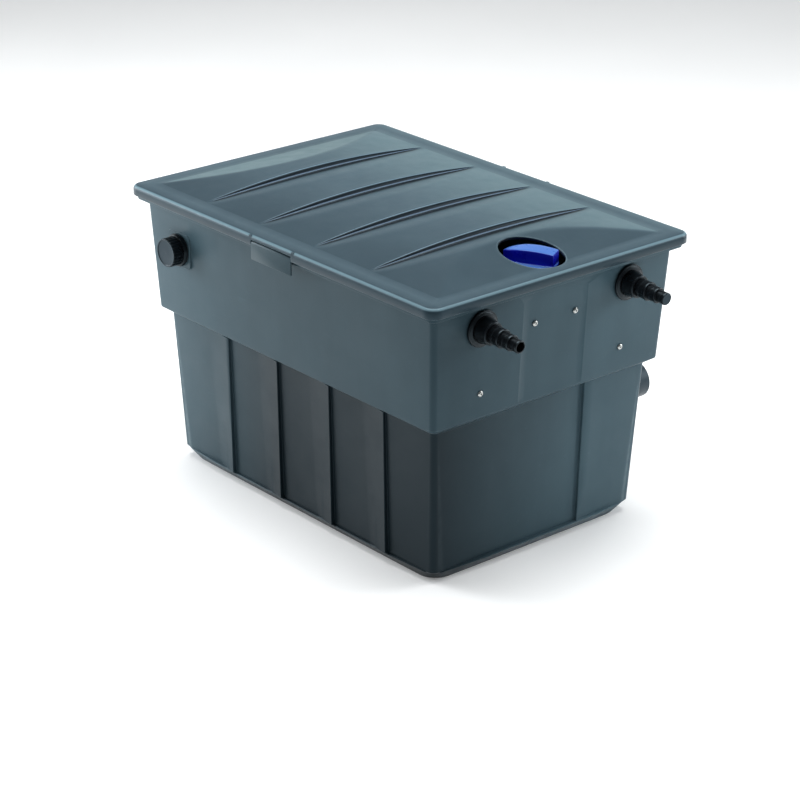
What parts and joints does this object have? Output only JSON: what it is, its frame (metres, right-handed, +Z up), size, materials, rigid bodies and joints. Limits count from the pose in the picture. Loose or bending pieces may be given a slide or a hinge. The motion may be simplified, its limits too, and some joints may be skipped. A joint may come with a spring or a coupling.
{
  "type": "flow-through pond filter box",
  "caption": "Large flow-through pond filter box with lift-off ridged lid, stepped hose inlets, brushed sieve, foam cassettes, drain gate and outlet.",
  "frame": {"origin": "middle of the tub's flat underside", "axes": "+Z up, +X out of the inlet end, -Y out of the side with the capped port"},
  "size_m": [1.0288, 0.6843, 0.625],
  "materials": {
    "shell": "fine satin moulded texture, slate grey",
    "black": "satin",
    "rubber": "matt",
    "steel": "turned",
    "blue": "satin gloss",
    "grey": "satin",
    "foam_blue": "open-cell foam",
    "foam_red": "open-cell foam"
  },
  "bodies": {
    "tub": {"tub": "shell", "inlet_left_seal": "rubber", "inlet_left_body": "black", "inlet_left_lock_nut": "black", "inlet_left_hose_tail": "black", "inlet_right_seal": "rubber", "inlet_right_body": "black", "inlet_right_lock_nut": "black", "inlet_right_hose_tail": "black", "wall_screw_1": "steel", "wall_screw_2": "steel", "wall_screw_3": "steel", "wall_screw_4": "steel", "port_seal": "rubber", "port_body": "black", "port_lock_nut": "black", "drain_seal": "rubber", "drain_stub": "grey", "drain_lock_nut": "black", "drain_pipe": "grey", "outlet_seal": "rubber", "outlet_stub": "black", "outlet_lock_nut": "black", "screen_carrier": "black", "sieve_cage": "black", "sieve_sleeve": "steel", "bearing_bush": "grey", "sieve_top_ring": "black", "sump_elbow": "grey", "gate_housing": "grey", "inlet_partition": "shell", "outlet_weir": "shell", "support_grid": "black"},
    "lid": {"lid": "shell", "flap_pin_front": "steel", "flap_pin_rear": "steel"},
    "flap_front": {"lid_flap_front": "shell"},
    "flap_rear": {"lid_flap_rear": "shell"},
    "cleaner": {"rotary_grip": "blue", "brush_shaft": "steel", "brush_holder": "black", "bristle_strip": "blue"},
    "port_cap": {"port_cap": "black"},
    "union_left": {"inlet_left_union_nut": "black"},
    "union_right": {"inlet_right_union_nut": "black"},
    "gate": {"gate_blade": "black", "gate_pull_rod": "steel", "gate_handle": "blue"},
    "cassette_front": {"cassette_frame_front": "black", "foam_front_1": "foam_blue", "foam_front_2": "foam_blue", "foam_front_3": "foam_blue", "foam_front_4": "foam_red"},
    "cassette_rear": {"cassette_frame_rear": "black", "foam_rear_1": "foam_blue", "foam_rear_2": "foam_blue", "foam_rear_3": "foam_blue", "foam_rear_4": "foam_red"}
  },
  "joints": [
    {"name": "lid_lift", "type": "slide", "parent": "tub", "child": "lid", "axis": [0, 0, 1], "range_m": [0, 0.25]},
    {"name": "flap_front_swing", "type": "hinge", "parent": "lid", "child": "flap_front", "pos_m": [0, -0.3345, 0.5912], "axis": [-1, 0, 0], "range_deg": [0, 70]},
    {"name": "flap_rear_swing", "type": "hinge", "parent": "lid", "child": "flap_rear", "pos_m": [0, 0.3345, 0.5912], "axis": [1, 0, 0], "range_deg": [0, 70]},
    {"name": "grip_turn", "type": "hinge", "parent": "tub", "child": "cleaner", "pos_m": [0.371, 0, 0.56], "axis": [0, 0, 1], "continuous": true},
    {"name": "port_cap_turn", "type": "hinge", "parent": "tub", "child": "port_cap", "pos_m": [-0.342, -0.32126, 0.493], "axis": [0, -1, 0], "range_deg": [0, 360]},
    {"name": "union_left_turn", "type": "hinge", "parent": "tub", "child": "union_left", "pos_m": [0.46623, -0.192, 0.52892], "axis": [0.9985, 0, -0.0542], "range_deg": [0, 360]},
    {"name": "union_right_turn", "type": "hinge", "parent": "tub", "child": "union_right", "pos_m": [0.46623, 0.192, 0.52892], "axis": [0.9985, 0, -0.0542], "range_deg": [0, 360]},
    {"name": "gate_lift", "type": "slide", "parent": "tub", "child": "gate", "axis": [0, 0, 1], "range_m": [0, 0.065]},
    {"name": "cassette_front_lift", "type": "slide", "parent": "tub", "child": "cassette_front", "axis": [0, 0, 1], "range_m": [0, 0.09]},
    {"name": "cassette_rear_lift", "type": "slide", "parent": "tub", "child": "cassette_rear", "axis": [0, 0, 1], "range_m": [0, 0.09]}
  ]
}
